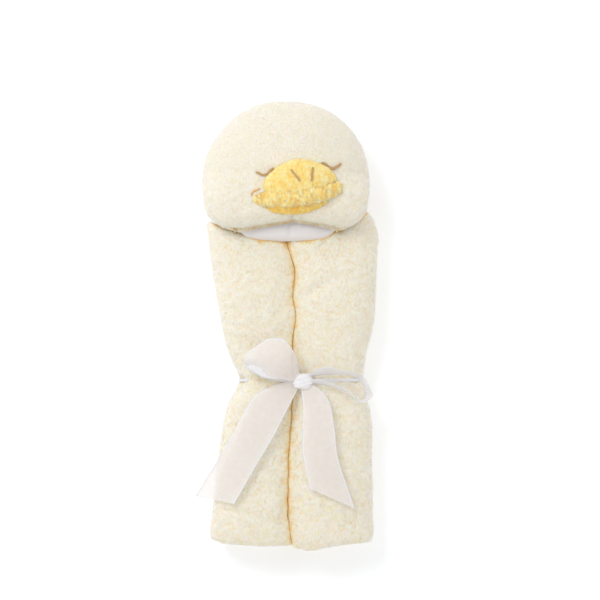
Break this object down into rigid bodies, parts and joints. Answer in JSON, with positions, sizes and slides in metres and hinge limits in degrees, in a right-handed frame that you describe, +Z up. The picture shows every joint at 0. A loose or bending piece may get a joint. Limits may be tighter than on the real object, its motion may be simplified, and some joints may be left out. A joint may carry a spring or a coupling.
{
  "type": "hooded baby towel",
  "caption": "Plush hooded baby towel with a sleepy duck face on the hood, rolled from both sides and tied at the waist with a ribbon bow.",
  "frame": {"origin": "centre of the flat underside of the back panel, on the towel's centre plane", "axes": "+Y along the towel to the crown of the hood, +Z up out of the face, +X to the right as the face is seen from above"},
  "size_m": [0.1884, 0.483, 0.1204],
  "materials": {
    "plush": "fine short pile plush, matt",
    "beak_plush": "shaggy terry loops, matt",
    "lining": "smooth white jersey",
    "filling": "loose polyester fibre",
    "thread": "brown embroidery thread with a low sheen",
    "ribbon": "sheer organza with woven edges"
  },
  "bodies": {
    "root": {"left_roll": "plush", "right_roll": "plush", "back_panel": "plush", "throat_lining": "lining", "ribbon_band": "ribbon", "ribbon_knot": "ribbon"},
    "hood": {"crown_panel": "plush", "left_cheek_panel": "plush", "right_cheek_panel": "plush", "hood_back_panel": "plush", "front_wadding": "filling", "back_wadding": "filling", "front_lining": "lining", "back_lining": "lining", "upper_bill": "beak_plush", "lower_bill": "beak_plush", "beak_stuffing": "filling", "left_eye_stitch": "thread", "right_eye_stitch": "thread", "left_nostril_stitch": "thread", "right_nostril_stitch": "thread"},
    "left_loop": {"left_loop": "ribbon"},
    "right_loop": {"right_loop": "ribbon"},
    "left_tail": {"left_tail": "ribbon"},
    "right_tail": {"right_tail": "ribbon"}
  },
  "joints": [
    {"name": "hood_tilt", "type": "hinge", "parent": "root", "child": "hood", "pos_m": [-0.0032, 0.118, 0.03], "axis": [1, 0, 0], "range_deg": [0, 20]},
    {"name": "left_loop_lift", "type": "hinge", "parent": "root", "child": "left_loop", "pos_m": [0.004, -0.055, 0.067], "axis": [0.5299, 0.848, 0], "range_deg": [0, 35]},
    {"name": "right_loop_lift", "type": "hinge", "parent": "root", "child": "right_loop", "pos_m": [0.026, -0.0575, 0.072], "axis": [-0.1219, -0.9925, 0], "range_deg": [0, 35]},
    {"name": "left_tail_lift", "type": "hinge", "parent": "root", "child": "left_tail", "pos_m": [0.0045, -0.0685, 0.0546], "axis": [-0.8187, 0.5742, 0], "range_deg": [0, 50]},
    {"name": "right_tail_lift", "type": "hinge", "parent": "root", "child": "right_tail", "pos_m": [0.023, -0.0715, 0.0553], "axis": [-0.9811, -0.1937, 0], "range_deg": [0, 50]}
  ]
}
